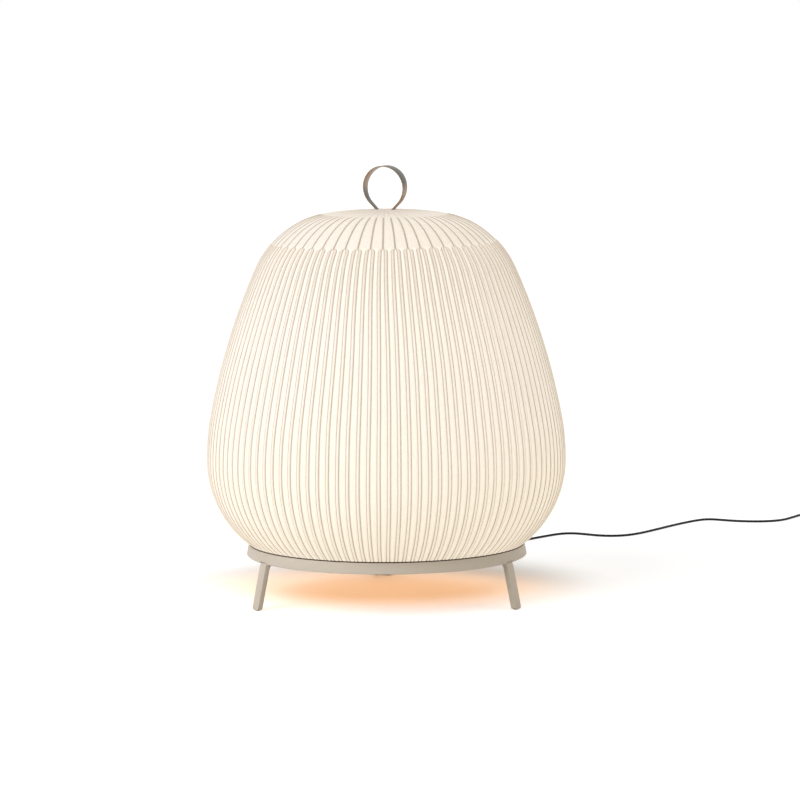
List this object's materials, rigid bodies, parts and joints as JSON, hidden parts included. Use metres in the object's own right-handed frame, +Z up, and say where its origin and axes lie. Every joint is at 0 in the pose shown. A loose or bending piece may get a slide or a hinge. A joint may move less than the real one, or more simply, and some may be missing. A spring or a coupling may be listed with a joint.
{
  "type": "floor lamp",
  "caption": "Low floor lamp with a pear-shaped ribbed knit shade on a painted ring and splayed flat-bar legs, a metal carrying loop on top and a black cord with a foot switch.",
  "frame": {"origin": "on the floor, under the axis of the shade", "axes": "+Z up along the shade's axis, -Y towards the front between two legs, +X to the right seen from the front"},
  "size_m": [1.4885, 1.591, 0.8395],
  "materials": {
    "taupe_paint": "satin powder coat",
    "black_plastic": "fine matt",
    "black_gloss": "smooth",
    "white_plastic": "matt",
    "white_metal": "white paint",
    "steel": "zinc plated",
    "aluminium": "satin",
    "board": "solder mask",
    "chips": "phosphor",
    "opal": "opal",
    "knit": "ribbed knit",
    "rods": "glass-fibre rod",
    "bronze": "satin bronze",
    "black_cord": "smooth sheath",
    "black_rubber": "moulded",
    "black_fabric": "hook and loop",
    "brass": "plated"
  },
  "bodies": {
    "lamp": {"base_ring": "taupe_paint", "leg_rear": "taupe_paint", "leg_front_left": "taupe_paint", "leg_front_right": "taupe_paint", "glides": "black_plastic", "arm_screws": "steel", "ring_screws": "steel", "hub_plate": "steel", "mouth_hoop": "steel", "driver_can": "white_plastic", "driver_lid": "white_plastic", "driver_board": "board", "inner_lead": "black_cord", "lead_grommet": "black_rubber", "light_core": "aluminium", "light_boards": "board", "light_chips": "chips", "diffuser": "opal", "diffuser_cap": "aluminium", "stem": "steel", "stem_nuts": "steel", "shade_knit": "knit", "crown_cap": "white_metal", "tunnel_rods": "rods", "crown_wires": "rods", "shoulder_hoop": "white_metal", "carrying_loop": "bronze", "loop_screw": "steel", "loop_boss": "aluminium", "cord_gland": "black_rubber", "cord_lead": "black_cord", "switch_base": "black_plastic", "switch_cover": "black_plastic", "switch_spring": "steel", "switch_boots": "black_rubber", "cord_run": "black_cord", "cord_coil": "black_cord", "coil_tie": "black_fabric", "cord_tail": "black_cord", "plug_body": "black_plastic", "plug_pins": "brass"},
    "button": {"switch_button": "black_gloss"}
  },
  "joints": [
    {"name": "switch_press", "type": "slide", "parent": "lamp", "child": "button", "axis": [0, 0, -1], "range_m": [0, 0.003], "stiffness_N_per_m": 600, "springref_m": -0.002, "deforming": ["switch_spring"]}
  ]
}
